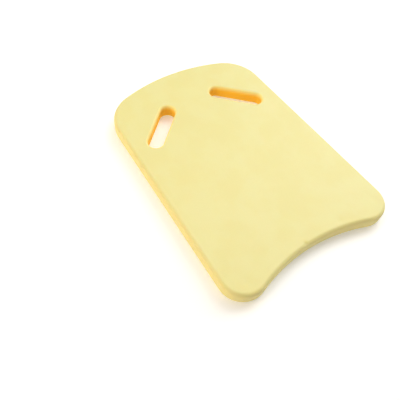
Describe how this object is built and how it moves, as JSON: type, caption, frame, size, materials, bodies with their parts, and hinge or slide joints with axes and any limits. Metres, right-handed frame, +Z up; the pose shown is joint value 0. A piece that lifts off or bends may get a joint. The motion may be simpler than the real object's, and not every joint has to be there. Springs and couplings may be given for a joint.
{
  "type": "kickboard float",
  "caption": "Flat rigid foam swim float with a rounded nose, a hollowed tail and slanted grip slots, laminated from bonded foam sheets, that carries a swimmer's arms.",
  "frame": {"origin": "middle of the board's overall length and width, on its bottom face", "axes": "+X across the board to the right, +Y along it towards the rounded nose, +Z up out of the top face"},
  "size_m": [0.307, 0.43, 0.025],
  "materials": {
    "skin_foam": "smooth matt closed-cell foam with a very soft sheen",
    "core_foam": "matt cut closed-cell foam, finely pored"
  },
  "bodies": {
    "root": {"bottom_skin": "skin_foam", "foam_core": "core_foam", "top_skin": "skin_foam"}
  },
  "joints": []
}
